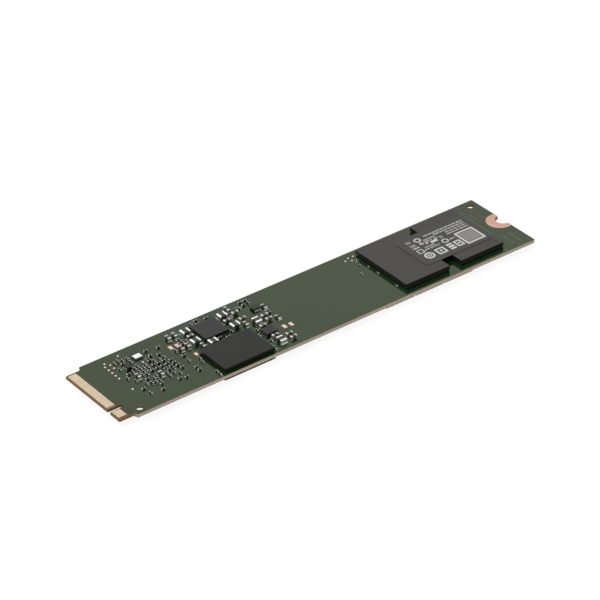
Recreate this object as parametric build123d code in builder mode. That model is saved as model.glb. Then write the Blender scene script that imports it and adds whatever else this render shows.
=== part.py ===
from build123d import *
import os

# Solid-state drive card with a card-edge connector, 22 by 110 mm.
# X runs from the connector tip to the mounting end, Y across the card, and Z up
# from the plane on which the packages of the underside rest.

os.makedirs("parts", exist_ok=True)

# Board
board_length = 110.0
board_width = 22.0
board_thickness = 0.8
board_corner_radius = 0.5
underside_height = 1.2

# Tongue of the card-edge connector, with its bevelled tip and key notch
tongue_width = 19.85
tongue_depth = 3.1
shoulder_run = 0.7
bevel_depth = 0.15
bevel_run = 0.2
key_width = 1.2
key_depth = 3.5
key_offset = 6.125

# Contact fingers
contact_pitch = 0.5
contact_width = 0.35
contact_length = 1.95
contact_margin = 0.05
contact_thickness = 0.035
top_contact_count = 38
bottom_contact_count = 37
key_contact_count = 4

# Mounting notch with its bare land, and the two tooling holes
mount_radius = 1.75
mount_land_radius = 3.15
mount_land_inset = 0.9
land_thickness = 0.035
tooling_radius = 1.1
tooling_inset = 1.9
tooling_tip_distance = 5.66

# Solder balls under the packages
ball_radius = 0.2
ball_height = 0.2
ball_inset = 1.0
ball_sides = 6
index_radius = 0.45
index_depth = 0.06
index_inset = 1.1
index_sides = 8

# Flash packages, counted from the mounting end
flash_width = 12.0
flash_length = 18.0
flash_height = 1.1
flash_gap = 3.2
flash_end_distance = 7.4
flash_ball_pitch = 1.0
flash_ball_count = 15

# Working memory, one package on each face
memory_width = 13.0
memory_length = 9.9
memory_height = 0.8
memory_manager_gap = 2.14
memory_tip_distance = 26.3
memory_ball_pitch = 0.8
memory_ball_count = 13

# Controller on the underside
controller_side = 13.0
controller_tip_distance = 15.4
controller_offset = 0.5
controller_ball_pitch = 1.0
controller_ball_count = 12

# Label over both flash packages
label_length = 19.0
label_width = 12.0
label_thickness = 0.08
label_corner_radius = 0.8
label_margin = 0.1

# Power manager, a flat package with lands round its rim
manager_side = 6.1
manager_height = 0.8
manager_tip_distance = 33.0
manager_offset = 4.84
rim_land_pitch = 0.65
rim_land_width = 0.25
rim_land_length = 0.5
rim_land_overhang = 0.12
rim_land_thickness = 0.05
rim_land_count = 8

# Moulded power inductors
inductor_length = 2.0
inductor_width = 1.6
inductor_height = 1.0
inductor_cap = 0.45

# Larger and smaller ceramic capacitors, and chip resistors
capacitor_length = 1.6
capacitor_width = 0.8
capacitor_height = 0.8
capacitor_cap = 0.35
chip_length = 1.0
chip_width = 0.5
chip_height = 0.5
chip_cap = 0.25
resistor_length = 1.6
resistor_width = 0.8
resistor_height = 0.45
resistor_cap = 0.3
cap_wrap = 0.02

# Load switch with flat leads
switch_length = 3.0
switch_width = 2.6
switch_height = 0.75
switch_lead_pitch = 0.65
switch_lead_width = 0.3
switch_lead_thickness = 0.15
switch_lead_reach = 0.3
switch_lead_count = 4

# Small packages with gull-wing leads
lead_thickness = 0.12
lead_width = 0.22
lead_foot = 0.25
sensor_length = 2.3
sensor_width = 1.9
sensor_height = 0.8
sensor_span = 3.0
sensor_lead_pitch = 0.5
sensor_lead_count = 4
regulator_length = 2.0
regulator_width = 1.2
regulator_height = 0.8
regulator_span = 2.1
regulator_lead_pitch = 0.65
regulator_lead_count = 3
package_standoff = 0.05

# Crystal
crystal_length = 2.0
crystal_width = 1.6
crystal_base_height = 0.35
crystal_lid_height = 0.15
crystal_lid_margin = 0.12

# Hold-up capacitors on the underside, moulded, with folded strap leads: a close row and
# a shorter lone one along each edge
hold_up_length = 8.04
hold_up_lone_length = 7.3
hold_up_width = 4.3
hold_up_gap = 0.09
hold_up_edge_distance = 1.1
hold_up_end_distance = 20.72
hold_up_lone_edge_distance = 1.8
hold_up_count = 3
strap_width = 2.4
strap_thickness = 0.1
strap_foot = 1.3
draft_angle = 5

# Round test lands and bare rectangular lands
test_land_radius = 0.3
test_land_sides = 6
bare_land_length = 1.5
bare_land_width = 0.9

# Levels and the board's own places
board_bottom = underside_height
board_top = board_bottom + board_thickness
tip_x = -board_length / 2
end_x = board_length / 2
near_y = -board_width / 2
far_y = board_width / 2
tongue_half = tongue_width / 2
shoulder_x = tip_x + tongue_depth
top_plane = Plane.XY.offset(board_top)
bottom_plane = Plane.XY.offset(board_bottom)

flash_outer_x = end_x - flash_end_distance - flash_width / 2
flash_inner_x = flash_outer_x - flash_width - flash_gap
flash_top = board_top + ball_height + flash_height
controller_x = tip_x + controller_tip_distance
controller_y = controller_offset
manager_x = tip_x + manager_tip_distance
manager_y = manager_offset
memory_x = tip_x + memory_tip_distance + memory_width / 2
memory_y = manager_y - manager_side / 2 - memory_manager_gap - memory_length / 2

# Places round the power manager, in shares of its side, from its centre.
# Lying pieces run along X and standing pieces across it.
lying_inductor_shares = (
    (-0.795, 0.407), (-0.811, -0.315), (0.811, 0.407), (0.820, -0.348), (-0.385, -0.675),
)
standing_inductor_shares = ((1.557, -0.654),)
lying_capacitor_shares = (
    (-0.766, 0.062), (0.792, 0.059), (1.300, 0.293), (1.295, -0.174), (2.005, -0.493),
    (2.005, -0.766),
)
standing_capacitor_shares = (
    (-1.421, 0.466), (-1.151, 0.466), (-1.421, -0.354), (-1.159, -0.354), (1.202, 0.636),
    (1.185, -0.534), (-0.741, -0.685),
)
standing_resistor_shares = ((2.361, 0.010), (2.336, -0.859))
lying_chip_shares = (
    (-0.049, 0.780), (0.344, 0.698), (-0.098, 0.600), (-1.238, -0.121), (-1.238, 0.018),
    (-1.213, 0.170), (-1.590, -0.711), (1.852, 0.551), (1.836, 0.755), (2.049, 0.764),
    (2.270, -0.293), (2.270, -0.416), (0.016, -0.613), (0.262, -0.736),
)
standing_chip_shares = (
    (1.041, 0.149), (-0.279, 0.682), (-1.098, 0.026), (-0.992, -0.072), (-1.623, -0.318),
    (1.508, 0.485), (1.639, 0.469), (2.082, 0.551), (0.582, -0.023), (0.582, -0.564),
)
sensor_share = (2.000, 0.092)
bare_land_shares = ((-1.659, 0.018), (-1.407, 0.018), (-1.172, -0.909))

# Places beside the memory, in chip lengths from the middle of its left or right side
left_lying_chip_shares = ((-3.40, 0.60), (-3.40, -0.60))
left_chip_shares = ((-0.85, 2.70), (-1.15, 1.40), (-0.90, -3.50), (-1.00, -4.70), (-3.10, 3.60))
right_chip_shares = ((0.75, 1.60), (1.60, 3.70), (1.60, -1.60), (0.60, -3.00), (0.45, -4.40))
right_inductor_shares = ((3.20, -2.84),)
right_capacitor_shares = ((3.33, 4.02), (3.23, -0.53), (5.88, -1.88), (5.88, -3.42))
right_land_shares = ((7.12, 1.49), (8.77, 1.49))
switch_share = (3.30, 1.74)

# Places in the field over the controller, in chip lengths from its centre
lying_field_shares = (
    (2.60, 6.45), (5.50, 5.95), (2.40, 4.35), (1.25, 3.75), (4.10, 3.65), (1.20, 2.95),
    (1.00, 1.05), (2.25, 1.05), (3.50, 1.05), (4.90, 0.35), (1.00, -0.35), (2.25, -0.35),
    (3.50, -0.35), (4.85, -0.90), (2.25, -1.55), (3.60, -1.55), (4.90, -2.15), (2.60, -2.35),
    (-1.50, -5.65), (-5.50, -4.85), (-2.40, -7.45), (2.50, -6.45), (3.90, -6.85),
    (-3.85, 5.40), (-5.00, 1.45), (-0.30, -0.35), (5.20, -3.35), (-2.90, -2.35),
)
standing_field_shares = (
    (-5.00, 6.60), (-4.00, 7.00), (-3.00, 6.50), (-1.95, 6.45), (2.00, 2.05), (3.25, 2.05),
    (4.50, 2.05), (2.90, -3.95), (3.75, -4.95), (-5.10, -7.05), (1.60, -4.30), (-2.85, -4.20),
    (-3.80, -3.60), (-1.95, -4.50), (-1.05, -4.60), (-1.45, -3.05), (-0.65, -2.60),
    (-1.80, 2.80), (-1.80, 1.50), (-1.80, 0.20), (-1.80, -1.10), (-2.70, 0.80), (-2.70, -0.60),
    (-0.30, 1.00), (-1.05, 1.55), (-0.20, 2.40), (-2.70, 2.20), (-3.75, 1.55), (-5.90, 0.30),
    (-5.30, 4.00), (-1.15, 0.25), (1.70, -2.95), (-2.00, 4.90), (3.70, -2.80), (-5.00, -1.60),
)
field_capacitor_shares = ((0.35, -2.85), (-3.95, -0.60))
regulator_share = (-3.70, 3.75)
crystal_share = (0.10, 5.75)

# Chips along the inner flash package, in chip lengths from the middle of its connector side
flash_chip_shares = ((-1.90, 5.20), (-0.85, 3.30), (-3.70, 2.10), (-0.80, 0.00), (-0.80, -6.60))
lying_flash_chip_shares = ((-1.50, 6.35), (-1.00, 7.15))

# Round lands, in chip lengths from the controller's centre and from the middle of the
# inner flash package's connector side
controller_land_shares = (
    (-7.37, 7.00), (-7.37, 5.60), (-7.37, 4.30), (-7.37, 3.00), (-7.37, 1.70),
    (-6.05, 7.00), (-6.05, 5.60), (-6.82, 8.10), (-7.37, -3.25), (-2.97, 8.80),
)
flash_land_shares = ((-3.35, 8.50), (-2.15, 9.10), (-2.05, 7.80), (-0.80, 9.10))

# Place of the lone pair of hold-up capacitors between the memory and the others
hold_up_lone_share = 0.478

# Chips on the underside, in chip lengths from the controller's centre
underside_chip_shares = (
    (8.00, 5.00), (8.00, 3.50), (8.00, 2.00), (8.00, 0.50), (8.00, -1.00),
    (-8.00, 4.50), (-8.00, 3.00), (-8.00, -2.00), (-8.00, -3.50),
)


def spread(centre, unit, shares, turn=0):
    # Places round a centre, each turned by the same angle
    return [
        Location((centre[0] + unit * along, centre[1] + unit * across), turn)
        for along, across in shares
    ]


def ball_rows(along_y, count, pitch, width):
    # Places of the two outermost rows of a ball grid
    places = []
    for side in (-1, 1):
        for number in range(count):
            along = (number - (count - 1) / 2) * pitch
            across = side * (width / 2 - ball_inset)
            places.append((across, along) if along_y else (along, across))
    return places


def finish(piece, label):
    piece.part.label = label
    export_step(piece.part, f"parts/{label}.step")


manager_centre = (manager_x, manager_y)
controller_centre = (controller_x, controller_y)
flash_side_centre = (flash_inner_x - flash_width / 2, 0)
memory_left = (memory_x - memory_width / 2, memory_y)
memory_right = (memory_x + memory_width / 2, memory_y)

# Circuit board: tongue with sloped shoulders, key notch, mounting notch and tooling holes
with BuildPart() as circuit_board:
    with BuildSketch(bottom_plane) as outline:
        with BuildLine():
            Polyline(
                (end_x, near_y),
                (end_x, far_y),
                (shoulder_x + shoulder_run, far_y),
                (shoulder_x, tongue_half),
                (tip_x, tongue_half),
                (tip_x, -tongue_half),
                (shoulder_x, -tongue_half),
                (shoulder_x + shoulder_run, near_y),
                close=True,
            )
        make_face()
        fillet(outline.vertices().group_by(Axis.X)[-1], radius=board_corner_radius)
        with Locations((tip_x, -key_offset)):
            SlotCenterToCenter(2 * key_depth - key_width, key_width, mode=Mode.SUBTRACT)
        with Locations((end_x, 0)):
            Circle(mount_radius, mode=Mode.SUBTRACT)
        with Locations(
            (tip_x + tooling_tip_distance, near_y + tooling_inset),
            (end_x - tooling_inset, far_y - tooling_inset),
        ):
            Circle(tooling_radius, mode=Mode.SUBTRACT)
    extrude(amount=board_thickness)
    tip_edges = circuit_board.faces().sort_by(Axis.X)[0:2].edges().filter_by(Axis.Y)
    chamfer(tip_edges, length=bevel_depth, length2=bevel_run)
finish(circuit_board, "circuit_board")

# Contact fingers on both faces, without those that the key notch removes
contact_x = tip_x + bevel_run + contact_margin + contact_length / 2
key_clear = key_contact_count * contact_pitch / 2


def contact_places(count):
    rows = [(number - (count - 1) / 2) * contact_pitch for number in range(count)]
    return [(contact_x, row) for row in rows if abs(row + key_offset) > key_clear]


with BuildPart() as contacts_top:
    with BuildSketch(top_plane):
        with Locations(*contact_places(top_contact_count)):
            Rectangle(contact_length, contact_width)
    extrude(amount=contact_thickness)
finish(contacts_top, "contacts_top")

with BuildPart() as contacts_bottom:
    with BuildSketch(bottom_plane):
        with Locations(*contact_places(bottom_contact_count)):
            Rectangle(contact_length, contact_width)
    extrude(amount=-contact_thickness)
finish(contacts_bottom, "contacts_bottom")


# Bare land round the mounting notch, cut off by the end of the board
def mounting_land(plane, thickness, label):
    with BuildPart() as land:
        with BuildSketch(plane):
            with Locations((end_x - mount_land_inset, 0)):
                Circle(mount_land_radius)
            with Locations((end_x - mount_land_radius, 0)):
                Rectangle(2 * mount_land_radius, board_width, mode=Mode.INTERSECT)
            with Locations((end_x, 0)):
                Circle(mount_radius, mode=Mode.SUBTRACT)
        extrude(amount=thickness)
    finish(land, label)


mounting_land(top_plane, land_thickness, "mounting_land_top")
mounting_land(bottom_plane, -land_thickness, "mounting_land_bottom")


# Moulded package on solder balls; side is 1 on the upper face and -1 on the underside
def ball_package(label, centre, length, width, height, plane, side, index_corner):
    base = plane.offset(side * ball_height)
    cap = plane.offset(side * (ball_height + height))
    with BuildPart() as package:
        with BuildSketch(base):
            with Locations(centre):
                Rectangle(length, width)
        extrude(amount=side * height)
        with BuildSketch(cap):
            with Locations(
                (
                    centre[0] + index_corner[0] * (length / 2 - index_inset),
                    centre[1] + index_corner[1] * (width / 2 - index_inset),
                )
            ):
                RegularPolygon(index_radius, index_sides)
        extrude(amount=-side * index_depth, mode=Mode.SUBTRACT)
    finish(package, label)


def solder_balls(label, groups):
    with BuildPart() as balls:
        for centre, grid, plane, side in groups:
            with BuildSketch(plane):
                with Locations(*[(centre[0] + x, centre[1] + y) for x, y in grid]):
                    RegularPolygon(ball_radius, ball_sides)
            extrude(amount=side * ball_height)
    finish(balls, label)


flash_grid = ball_rows(True, flash_ball_count, flash_ball_pitch, flash_width)
memory_grid = ball_rows(False, memory_ball_count, memory_ball_pitch, memory_length)
controller_grid = ball_rows(True, controller_ball_count, controller_ball_pitch, controller_side)
near_right = (1, -1)
near_left = (-1, -1)

for label, flash_x in (("flash_package_outer", flash_outer_x), ("flash_package_inner", flash_inner_x)):
    ball_package(
        label,
        (flash_x, 0),
        flash_width,
        flash_length,
        flash_height,
        top_plane,
        1,
        near_right,
    )
for label, plane, side in (
    ("memory_package_top", top_plane, 1),
    ("memory_package_bottom", bottom_plane, -1),
):
    ball_package(
        label,
        (memory_x, memory_y),
        memory_width,
        memory_length,
        memory_height,
        plane,
        side,
        near_left,
    )
ball_package(
    "controller_package",
    controller_centre,
    controller_side,
    controller_side,
    underside_height - ball_height,
    bottom_plane,
    -1,
    near_left,
)
solder_balls(
    "flash_solder_balls",
    (
        ((flash_outer_x, 0), flash_grid, top_plane, 1),
        ((flash_inner_x, 0), flash_grid, top_plane, 1),
    ),
)
solder_balls(
    "memory_solder_balls",
    (
        ((memory_x, memory_y), memory_grid, top_plane, 1),
        ((memory_x, memory_y), memory_grid, bottom_plane, -1),
    ),
)
solder_balls("controller_solder_balls", ((controller_centre, controller_grid, bottom_plane, -1),))

# Label film, bridging the gap between the flash packages
label_x = flash_outer_x + flash_width / 2 - label_margin - label_length / 2
with BuildPart() as label:
    with BuildSketch(Plane.XY.offset(flash_top)):
        with Locations((label_x, 0)):
            RectangleRounded(label_length, label_width, label_corner_radius)
    extrude(amount=label_thickness)
finish(label, "label")


# Two-ended chip: a body between two caps that wrap its ends
def chips(name, places, length, width, height, cap_length, plane=top_plane, side=1):
    with BuildPart() as bodies:
        with BuildSketch(plane):
            with Locations(*places):
                Rectangle(length - 2 * cap_length, width - 2 * cap_wrap)
        extrude(amount=side * (height - cap_wrap))
    finish(bodies, f"{name}_bodies")
    with BuildPart() as caps:
        with BuildSketch(plane):
            with Locations(*places):
                with Locations((cap_length / 2 - length / 2, 0), (length / 2 - cap_length / 2, 0)):
                    Rectangle(cap_length, width)
        extrude(amount=side * height)
    finish(caps, f"{name}_caps")


standing = 90
chips(
    "power_inductor",
    spread(manager_centre, manager_side, lying_inductor_shares)
    + spread(manager_centre, manager_side, standing_inductor_shares, standing)
    + spread(memory_right, chip_length, right_inductor_shares, standing),
    inductor_length,
    inductor_width,
    inductor_height,
    inductor_cap,
)
chips(
    "large_capacitor",
    spread(manager_centre, manager_side, lying_capacitor_shares)
    + spread(manager_centre, manager_side, standing_capacitor_shares, standing)
    + spread(memory_right, chip_length, right_capacitor_shares)
    + spread(controller_centre, chip_length, field_capacitor_shares, standing),
    capacitor_length,
    capacitor_width,
    capacitor_height,
    capacitor_cap,
)
chips(
    "chip_resistor",
    spread(manager_centre, manager_side, standing_resistor_shares, standing),
    resistor_length,
    resistor_width,
    resistor_height,
    resistor_cap,
)
chips(
    "power_chip",
    spread(manager_centre, manager_side, lying_chip_shares)
    + spread(manager_centre, manager_side, standing_chip_shares, standing)
    + spread(memory_left, chip_length, left_lying_chip_shares)
    + spread(memory_left, chip_length, left_chip_shares, standing)
    + spread(memory_right, chip_length, right_chip_shares, standing),
    chip_length,
    chip_width,
    chip_height,
    chip_cap,
)
chips(
    "field_chip",
    spread(controller_centre, chip_length, lying_field_shares)
    + spread(controller_centre, chip_length, standing_field_shares, standing),
    chip_length,
    chip_width,
    chip_height,
    chip_cap,
)
chips(
    "flash_chip",
    spread(flash_side_centre, chip_length, lying_flash_chip_shares)
    + spread(flash_side_centre, chip_length, flash_chip_shares, standing),
    chip_length,
    chip_width,
    chip_height,
    chip_cap,
)
chips(
    "underside_chip",
    spread(controller_centre, chip_length, underside_chip_shares, standing),
    chip_length,
    chip_width,
    chip_height,
    chip_cap,
    bottom_plane,
    -1,
)

# Power manager on a rim of lands
rim_half = manager_side / 2 + rim_land_overhang - rim_land_length / 2
with BuildPart() as manager_lands:
    with BuildSketch(top_plane):
        with Locations(manager_centre):
            with GridLocations(2 * rim_half, rim_land_pitch, 2, rim_land_count):
                Rectangle(rim_land_length, rim_land_width)
            with GridLocations(rim_land_pitch, 2 * rim_half, rim_land_count, 2):
                Rectangle(rim_land_width, rim_land_length)
    extrude(amount=rim_land_thickness)
finish(manager_lands, "power_manager_lands")

with BuildPart() as manager:
    with BuildSketch(top_plane.offset(rim_land_thickness)):
        with Locations(manager_centre):
            Rectangle(manager_side, manager_side)
    extrude(amount=manager_height)
finish(manager, "power_manager")


# Load switch with four flat leads on each end
switch_centre = (
    memory_right[0] + switch_share[0] * chip_length,
    memory_right[1] + switch_share[1] * chip_length,
)
switch_reach = switch_length / 2 + switch_lead_reach / 2
with BuildPart() as load_switch:
    with BuildSketch(top_plane):
        with Locations(switch_centre):
            Rectangle(switch_length, switch_width)
    extrude(amount=switch_height)
finish(load_switch, "load_switch")

with BuildPart() as switch_leads:
    with BuildSketch(top_plane):
        with Locations(switch_centre):
            with GridLocations(2 * switch_reach, switch_lead_pitch, 2, switch_lead_count):
                Rectangle(switch_lead_reach, switch_lead_width)
    extrude(amount=switch_lead_thickness)
finish(switch_leads, "load_switch_leads")


# Small package with bent leads on two sides, the leads running along X before it is turned
def gull_package(name, place, length, width, height, span, pitch, count):
    body_half = width / 2
    foot_start = span / 2 - lead_foot
    exit_level = package_standoff + height / 2
    with BuildPart() as lead_pair:
        with BuildSketch(Plane.XZ):
            with BuildLine():
                Polyline(
                    (body_half, exit_level),
                    (body_half + lead_thickness, exit_level),
                    (foot_start + lead_thickness, lead_thickness),
                    (span / 2, lead_thickness),
                    (span / 2, 0),
                    (foot_start, 0),
                    (body_half + lead_thickness / 2, exit_level - lead_thickness),
                    (body_half, exit_level - lead_thickness),
                    close=True,
                )
            make_face()
        extrude(amount=lead_width / 2, both=True)
        mirror(about=Plane.YZ)
    with BuildPart() as leads:
        with Locations(place):
            with GridLocations(pitch, pitch, 1, count):
                add(lead_pair.part)
    finish(leads, f"{name}_leads")
    with BuildPart() as body:
        with BuildSketch(Plane.XY.offset(board_top + package_standoff)):
            with Locations(Location((place.position.X, place.position.Y), place.orientation.Z)):
                Rectangle(width, length)
        extrude(amount=height)
    finish(body, name)


gull_package(
    "sensor",
    Location(
        (
            manager_x + sensor_share[0] * manager_side,
            manager_y + sensor_share[1] * manager_side,
            board_top,
        ),
        standing,
    ),
    sensor_length,
    sensor_width,
    sensor_height,
    sensor_span,
    sensor_lead_pitch,
    sensor_lead_count,
)
gull_package(
    "regulator",
    Location(
        (
            controller_x + regulator_share[0] * chip_length,
            controller_y + regulator_share[1] * chip_length,
            board_top,
        )
    ),
    regulator_length,
    regulator_width,
    regulator_height,
    regulator_span,
    regulator_lead_pitch,
    regulator_lead_count,
)

# Crystal: ceramic base and metal lid
crystal_centre = (
    controller_x + crystal_share[0] * chip_length,
    controller_y + crystal_share[1] * chip_length,
)
with BuildPart() as crystal_base:
    with BuildSketch(top_plane):
        with Locations(crystal_centre):
            Rectangle(crystal_length, crystal_width)
    extrude(amount=crystal_base_height)
finish(crystal_base, "crystal_base")

with BuildPart() as crystal_lid:
    with BuildSketch(top_plane.offset(crystal_base_height)):
        with Locations(crystal_centre):
            Rectangle(crystal_length - 2 * crystal_lid_margin, crystal_width - 2 * crystal_lid_margin)
    extrude(amount=crystal_lid_height)
finish(crystal_lid, "crystal_lid")

# Hold-up capacitors: a moulded body with draft from its parting line, on strap leads
hold_up_pitch = hold_up_length + hold_up_gap
hold_up_x = [end_x - hold_up_end_distance - number * hold_up_pitch for number in range(hold_up_count)]
row_room = hold_up_x[-1] - hold_up_length / 2 - memory_right[0]
row_y = board_width / 2 - hold_up_edge_distance - hold_up_width / 2
lone_x = memory_right[0] + hold_up_lone_share * row_room
lone_y = board_width / 2 - hold_up_lone_edge_distance - hold_up_width / 2
hold_up_kinds = [
    (hold_up_length, [(x, side * row_y) for x in hold_up_x for side in (-1, 1)]),
    (hold_up_lone_length, [(lone_x, side * lone_y) for side in (-1, 1)]),
]
half_height = (underside_height - strap_thickness) / 2
with BuildPart() as hold_up_bodies:
    for length, places in hold_up_kinds:
        for amount in (half_height, -half_height):
            with BuildSketch(Plane.XY.offset(half_height)):
                with Locations(*places):
                    Rectangle(length - 2 * strap_thickness, hold_up_width)
            extrude(amount=amount, taper=draft_angle)
finish(hold_up_bodies, "hold_up_capacitor_bodies")

with BuildPart() as hold_up_straps:
    for length, places in hold_up_kinds:
        with BuildPart(mode=Mode.PRIVATE) as strap_pair:
            with BuildSketch(Plane.XZ):
                with BuildLine():
                    Polyline(
                        (length / 2, half_height),
                        (length / 2, board_bottom),
                        (length / 2 - strap_foot, board_bottom),
                        (length / 2 - strap_foot, board_bottom - strap_thickness),
                        (length / 2 - strap_thickness, board_bottom - strap_thickness),
                        (length / 2 - strap_thickness, half_height),
                        close=True,
                    )
                make_face()
            extrude(amount=strap_width / 2, both=True)
            mirror(about=Plane.YZ)
        with Locations(*places):
            add(strap_pair.part)
finish(hold_up_straps, "hold_up_capacitor_leads")


# Bare lands in the solder mask
with BuildPart() as test_lands:
    with BuildSketch(top_plane):
        with Locations(
            *spread(controller_centre, chip_length, controller_land_shares),
            *spread(flash_side_centre, chip_length, flash_land_shares),
        ):
            RegularPolygon(test_land_radius, test_land_sides)
    extrude(amount=land_thickness)
finish(test_lands, "test_lands")

with BuildPart() as bare_lands:
    with BuildSketch(top_plane):
        with Locations(
            *spread(manager_centre, manager_side, bare_land_shares),
            *spread(memory_right, chip_length, right_land_shares),
        ):
            Rectangle(bare_land_width, bare_land_length)
    extrude(amount=land_thickness)
finish(bare_lands, "bare_lands")
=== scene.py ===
import math
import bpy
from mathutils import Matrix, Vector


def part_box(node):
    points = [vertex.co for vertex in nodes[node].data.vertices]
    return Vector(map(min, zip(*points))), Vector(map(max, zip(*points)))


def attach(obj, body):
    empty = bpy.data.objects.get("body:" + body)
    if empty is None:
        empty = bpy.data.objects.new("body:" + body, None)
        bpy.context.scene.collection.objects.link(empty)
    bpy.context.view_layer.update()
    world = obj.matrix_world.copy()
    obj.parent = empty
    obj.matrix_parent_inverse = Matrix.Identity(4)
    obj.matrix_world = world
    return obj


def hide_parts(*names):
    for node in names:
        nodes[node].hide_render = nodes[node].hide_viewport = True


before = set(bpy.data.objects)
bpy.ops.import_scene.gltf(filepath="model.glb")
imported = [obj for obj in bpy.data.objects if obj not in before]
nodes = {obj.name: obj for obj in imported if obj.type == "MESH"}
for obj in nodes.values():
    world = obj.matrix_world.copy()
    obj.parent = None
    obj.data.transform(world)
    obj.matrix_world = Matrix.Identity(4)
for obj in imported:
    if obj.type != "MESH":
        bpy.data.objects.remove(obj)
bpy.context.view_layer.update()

from types import SimpleNamespace

import bmesh
import bpy
from mathutils import Matrix, Vector

scene = bpy.context.scene
mm = 0.001
boardMiddle = 1.6 * mm  # pieces centred below this height hang under the board
tolerance = {"node": 0.0001 * mm, "drawn": 0.0005 * mm, "piece": 0.00001 * mm}
sharpAngle = {"node": 0.4, "flat": 0.02, "package": 0.6}  # radians


# small helpers for meshes

def nodeBox(nodeName):
    low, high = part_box(nodeName)
    return SimpleNamespace(low=low, high=high, centre=(low + high) / 2, size=high - low)


def nodeMesh(nodeName):
    # a copy of a CAD node with its loose triangles joined
    bm = bmesh.new()
    bm.from_mesh(nodes[nodeName].data)
    bmesh.ops.remove_doubles(bm, verts=bm.verts, dist=tolerance["node"])
    return bm


def solidBoxes(nodeName):
    # centre and size of each separate solid of a node, from the tip to the mounting end
    bm = nodeMesh(nodeName)
    seen, found = set(), []
    for start in bm.verts:
        if start in seen:
            continue
        seen.add(start)
        group, waiting = [], [start]
        while waiting:
            vert = waiting.pop()
            group.append(vert.co.copy())
            for edge in vert.link_edges:
                other = edge.other_vert(vert)
                if other not in seen:
                    seen.add(other)
                    waiting.append(other)
        low = Vector([min(co[axis] for co in group) for axis in range(3)])
        high = Vector([max(co[axis] for co in group) for axis in range(3)])
        found.append(((low + high) / 2, high - low))
    bm.free()
    return sorted(found, key=lambda item: tuple(round(value, 6) for value in item[0]))


def vertsOf(geometry):
    return [part for part in geometry if isinstance(part, bmesh.types.BMVert)]


def edgesOf(geometry):
    return [part for part in geometry if isinstance(part, bmesh.types.BMEdge)]


def sharpEdges(bm, angle):
    return [e for e in bm.edges if len(e.link_faces) == 2 and e.calc_face_angle() > angle]


def bevelEdges(bm, edges, width, segments):
    bmesh.ops.bevel(bm, geom=edges, offset=width, offset_type="OFFSET", segments=segments,
                    profile=0.5, affect="EDGES", clamp_overlap=True, material=-1)


def cutAt(bm, place, normal, clear=False):
    bmesh.ops.bisect_plane(bm, geom=bm.verts[:] + bm.edges[:] + bm.faces[:], dist=tolerance["node"],
                           plane_co=place, plane_no=normal, clear_outer=clear)


def fillFlat(bm):
    bmesh.ops.triangle_fill(bm, use_beauty=True, edges=bm.edges[:])


def thicken(bm, faces, height):
    raised = bmesh.ops.extrude_face_region(bm, geom=faces)
    bmesh.ops.translate(bm, verts=vertsOf(raised["geom"]), vec=(0, 0, height))


def addCircle(bm, x, y, z, radius, sides):
    verts = bmesh.ops.create_circle(bm, cap_ends=False, radius=radius, segments=sides)["verts"]
    bmesh.ops.translate(bm, verts=verts, vec=(x, y, z))
    return verts


def drawOutline(bm, z, start, path):
    # a closed outline of points (x, y) and arcs (x, y, angle, steps) about the centre x, y
    first = last = bm.verts.new((start[0], start[1], z))
    for x, y, *arc in path:
        if arc:
            made = bmesh.ops.spin(bm, geom=[last], cent=(x, y, z), axis=(0, 0, 1),
                                  angle=arc[0], steps=arc[1])
            last = vertsOf(made["geom_last"])[0]
        else:
            vert = bm.verts.new((x, y, z))
            bm.edges.new((last, vert))
            last = vert
    if (last.co - first.co).length > tolerance["drawn"]:
        bm.edges.new((last, first))
    bmesh.ops.remove_doubles(bm, verts=bm.verts, dist=tolerance["drawn"])


def meshFrom(bm, name="template"):
    mesh = bpy.data.meshes.new(name)
    bm.to_mesh(mesh)
    bm.free()
    return mesh


def addObject(name, data):
    made = bpy.data.objects.new(name, data)
    scene.collection.objects.link(made)
    return made


def blockTemplate(size, edge, segments, endOnly=False):
    # a block with rounded edges; endOnly leaves its end at -X square
    bm = bmesh.new()
    bmesh.ops.create_cube(bm, size=1)
    bmesh.ops.scale(bm, vec=size, verts=bm.verts)
    rounded = [e for e in bm.edges if not endOnly or any(v.co.x > 0 for v in e.verts)]
    bevelEdges(bm, rounded, edge, segments)
    return meshFrom(bm)


def stamp(bm, shape, place, turn=0.0, under=False):
    # one more copy of a template; under turns it upside down for the lower face of the board
    start = len(bm.verts)
    bm.from_mesh(shape)
    bm.verts.ensure_lookup_table()
    matrix = Matrix.Translation(place) @ Matrix.Rotation(turn, 4, "Z")
    if under:
        matrix = matrix @ Matrix.Rotation(math.pi, 4, "X")
    bmesh.ops.transform(bm, matrix=matrix, verts=bm.verts[start:])


def addPiece(name, bm, finishName, replaced=(), smooth=False):
    bmesh.ops.remove_doubles(bm, verts=bm.verts, dist=tolerance["piece"])
    bmesh.ops.recalc_face_normals(bm, faces=bm.faces)
    mesh = meshFrom(bm, name)
    mesh.materials.append(finish[finishName])
    for face in mesh.polygons:
        face.use_smooth = smooth
    piece = addObject(name, mesh)
    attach(piece, "root")
    if replaced:
        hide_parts(*replaced)


def softened(nodeName, name, finishName, slotName, edge, segments=2, scale=1.0, about=(0, 0, 0)):
    # a CAD node's shape with its sharp edges rounded off, made smaller about a point if need be
    bm = nodeMesh(nodeName)
    bmesh.ops.dissolve_limit(bm, angle_limit=sharpAngle["flat"], verts=bm.verts, edges=bm.edges)
    bmesh.ops.scale(bm, vec=(scale, scale, scale), verts=bm.verts,
                    space=Matrix.Translation(-Vector(about)))
    bevelEdges(bm, sharpEdges(bm, sharpAngle["node"]), edge * mm, segments)
    addPiece(name, bm, finishName, (nodeName,))


# small helpers for shaders

def linear(red, green, blue):
    # a display colour, 0 to 255, as the shaders want it
    def channel(value):
        value = value / 255
        return value / 12.92 if value <= 0.04045 else ((value + 0.055) / 1.055) ** 2.4
    return (channel(red), channel(green), channel(blue), 1.0)


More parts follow.
